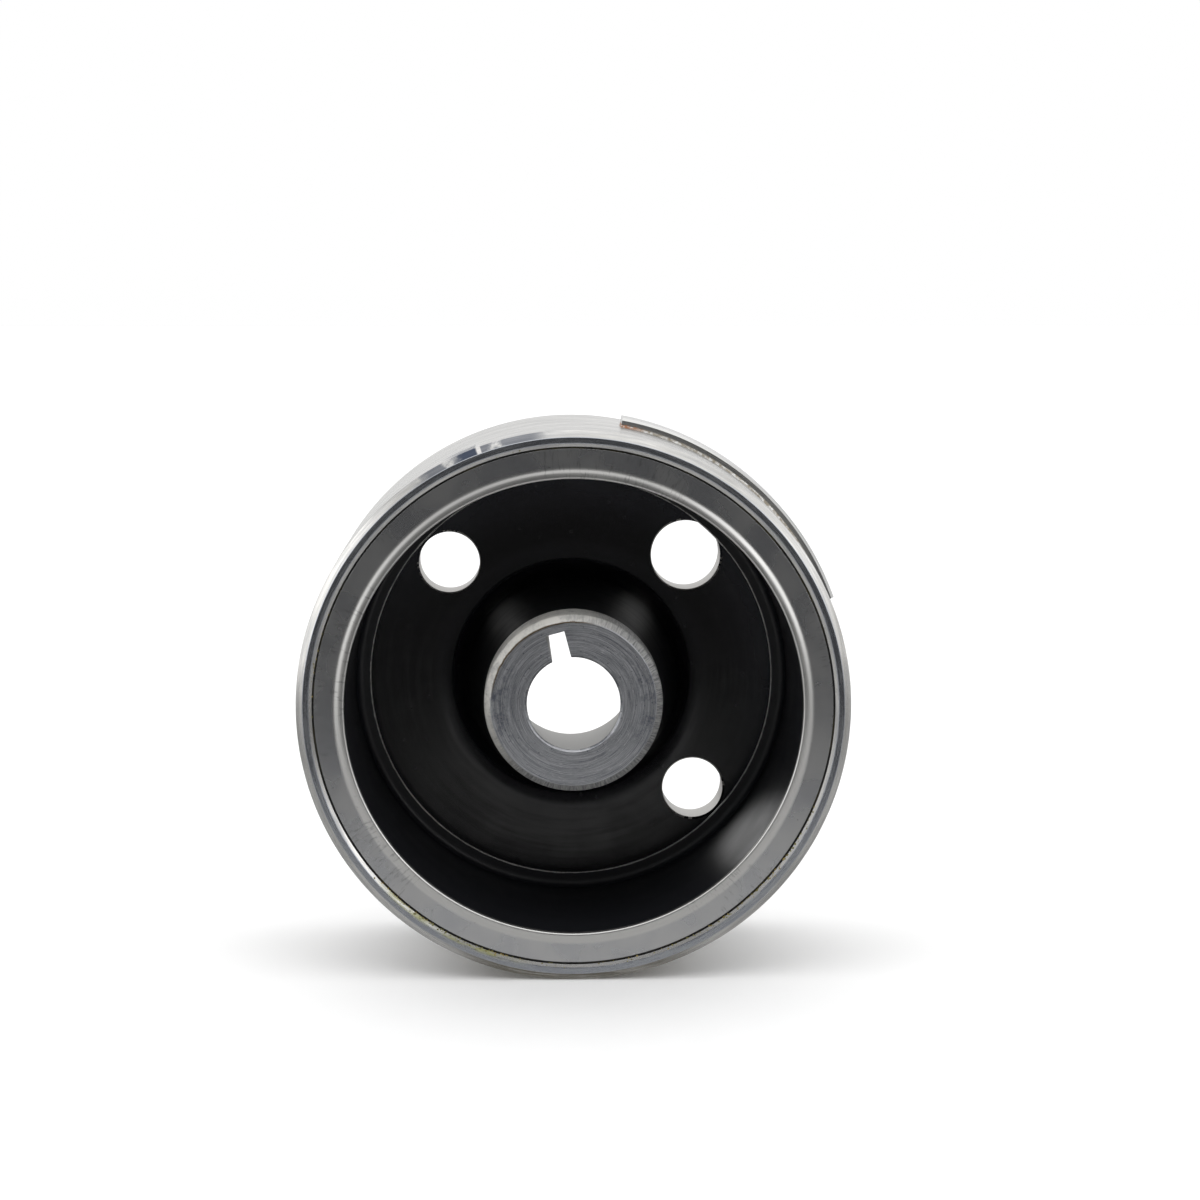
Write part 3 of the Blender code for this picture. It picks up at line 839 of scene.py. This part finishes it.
bead = turn("adhesive_bead", softened([
    (bead_outer, cover_face + bead_set_in, 0.05),
    (bead_outer, cover_face + bead_depth, 0.0),
    (bead_inner, cover_face + bead_depth, 0.0),
    (bead_inner, cover_face + bead_set_in, 0.05),
]), adhesive("adhesive_bead_dark", (0.006, 0.0055, 0.005), (0.05, 0.04, 0.012), 0.4))
dried_adhesive = adhesive("adhesive_dried", (0.13, 0.12, 0.035), (0.34, 0.23, 0.06), 0.6)
crumbs = crumbs_tree()
for seed, (centre_degrees, spread_degrees, count) in enumerate(crumb_clumps):
    clump = bead.modifiers.new("clump", "NODES")
    clump.node_group = crumbs
    set_input(clump, "Centre", math.radians(centre_degrees))
    set_input(clump, "Spread", math.radians(spread_degrees))
    set_input(clump, "Count", count)
    set_input(clump, "Seed", seed * 10)
    set_input(clump, "Material", dried_adhesive)
bake(bead)
bead.data.shade_smooth()
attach(bead, "root")

# Magnets and cage. Twelve ferrite arcs and the moulded resin ring that spaces them; they lie shut in
# between the cover and the rim, held by adhesive.


def ferrite():
    """Ground ferrite, dark grey and gritty."""
    finish = Finish("ferrite_ground", (0.05, 0.05, 0.055), 0.6, 0.2)
    grit = finish.noise(finish.place(), 900.0, 4.0)
    finish.use("Base Color", finish.blend(grit, (0.035, 0.035, 0.04), (0.075, 0.075, 0.08)))
    finish.bump(grit, 0.02, 0.5)
    return finish.material


def cage_resin():
    """Moulded black resin with a slightly uneven shine."""
    finish = Finish("cage_resin_moulded", (0.03, 0.03, 0.03), 0.5, 0.0)
    flow = finish.noise(finish.place(), 400.0, 3.0)
    finish.use("Roughness", finish.ramp(flow, 0.3, 0.7, 0.45, 0.6))
    finish.bump(flow, 0.01, 0.4)
    return finish.material


magnet_finish = ferrite()
for name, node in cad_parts.items():
    if name.startswith("magnet_") and name not in ("magnet_cover", "magnet_cage"):
        node.data.materials.clear()
        node.data.materials.append(magnet_finish)
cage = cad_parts["magnet_cage"]
cage.data.materials.clear()
cage.data.materials.append(cage_resin())

# Studio: a pale paper floor, a soft bright dome above, behind and at the sides, and a dark room in front.
# The metal sees only the near part of the table, as it would on a small table in a dark room.
dome_level = 1.0
overhead_level = 1.65
lamp_level = 2.0
room_level = 0.11
floor_reach = 4.0
table_reach = 0.19
table_back = 1.0
table_half_width = 0.8
table_drop = 0.0002


def stage_sheet(name, near, far, half_width, drop, shade):
    """A level sheet under the rotor, reaching from one place along the shaft to another, in metres."""
    mesh = bpy.data.meshes.new(name)
    bm = bmesh.new()
    bmesh.ops.create_grid(bm, x_segments=1, y_segments=1, size=1.0)
    bmesh.ops.scale(bm, vec=(half_width, (far - near) / 2, 1.0), verts=bm.verts)
    bmesh.ops.translate(bm, vec=(0.0, (far + near) / 2, body_low.z - drop), verts=bm.verts)
    bm.to_mesh(mesh)
    bm.free()
    sheet_object = bpy.data.objects.new(name, mesh)
    bpy.context.scene.collection.objects.link(sheet_object)
    paper = Finish(name + "_paper", (shade, shade, shade), 0.7, 0.0)
    tooth = paper.noise(paper.place(), 300.0, 3.0)
    paper.use("Roughness", paper.ramp(tooth, 0.3, 0.7, 0.65, 0.8))
    mesh.materials.append(paper.material)
    return sheet_object


floor = stage_sheet("floor", -floor_reach, floor_reach, floor_reach, 0.0, 0.95)
floor.visible_glossy = False
table = stage_sheet("table", body_low.y - table_reach, table_back, table_half_width, table_drop, 0.75)
table.visible_camera = False
table.visible_diffuse = False


def studio_world():
    """The light that reaches the rotor from each direction, with a plain white background behind it."""
    world = bpy.data.worlds.new("studio")
    world.use_nodes = True
    tree = world.node_tree
    tree.nodes.clear()
    output = tree.nodes.new("ShaderNodeOutputWorld")
    place = tree.nodes.new("ShaderNodeTexCoord")
    split = tree.nodes.new("ShaderNodeSeparateXYZ")
    tree.links.new(place.outputs["Generated"], split.inputs[0])

    sideways = maths_node(tree, "MULTIPLY", split.outputs["X"], 0.15)
    turned = maths_node(tree, "SUBTRACT", split.outputs["Y"], sideways)
    front = ramp_node(tree, turned, -0.5, -0.85, dome_level, room_level)
    above = ramp_node(tree, split.outputs["Z"], 0.5, 0.85, 0.0, overhead_level)

    def lamp(direction):
        """A soft round lamp, at full strength within 14 degrees of its middle and gone by 26."""
        towards = tree.nodes.new("ShaderNodeVectorMath")
        towards.operation = "DOT_PRODUCT"
        towards.inputs[1].default_value = Vector(direction).normalized()
        tree.links.new(place.outputs["Generated"], towards.inputs[0])
        return ramp_node(tree, towards.outputs["Value"], 0.9, 0.97, 0.0, lamp_level)

    lamps = maths_node(tree, "MAXIMUM", lamp((0.71, -0.58, 0.39)), lamp((-0.87, -0.38, 0.31)))
    strength = maths_node(tree, "MAXIMUM", maths_node(tree, "MAXIMUM", front, above), lamps)
    dome = tree.nodes.new("ShaderNodeBackground")
    dome.inputs["Color"].default_value = (1.0, 1.0, 1.0, 1.0)
    tree.links.new(strength, dome.inputs["Strength"])
    backdrop = tree.nodes.new("ShaderNodeBackground")
    backdrop.inputs["Color"].default_value = (1.0, 1.0, 1.0, 1.0)
    path = tree.nodes.new("ShaderNodeLightPath")
    mix = tree.nodes.new("ShaderNodeMixShader")
    tree.links.new(path.outputs["Is Camera Ray"], mix.inputs["Fac"])
    tree.links.new(dome.outputs[0], mix.inputs[1])
    tree.links.new(backdrop.outputs[0], mix.inputs[2])
    tree.links.new(mix.outputs[0], output.inputs["Surface"])
    return world


bpy.context.scene.world = studio_world()
bpy.context.scene.view_settings.view_transform = "Standard"

view_distance = 0.626
view_elevation = math.radians(9.2)
view_azimuth = math.radians(-0.8)
aim_right = 0.00545
aim_up = 0.02256
cover_centre = Vector((0.0, cover_face * MM, 0.0))
camera_data = bpy.data.cameras.new("camera")
camera_data.lens = 90.0
camera_data.sensor_width = 36.0
camera = bpy.data.objects.new("camera", camera_data)
bpy.context.scene.collection.objects.link(camera)
towards_camera = Vector((math.cos(view_elevation) * math.sin(view_azimuth),
                         -math.cos(view_elevation) * math.cos(view_azimuth), math.sin(view_elevation)))
camera.location = cover_centre + towards_camera * view_distance
side = (-towards_camera).cross(Vector((0, 0, 1))).normalized()
upward = side.cross(-towards_camera).normalized()
aim = cover_centre + side * aim_right + upward * aim_up
camera.rotation_euler = (aim - camera.location).to_track_quat("-Z", "Y").to_euler()
bpy.context.scene.camera = camera
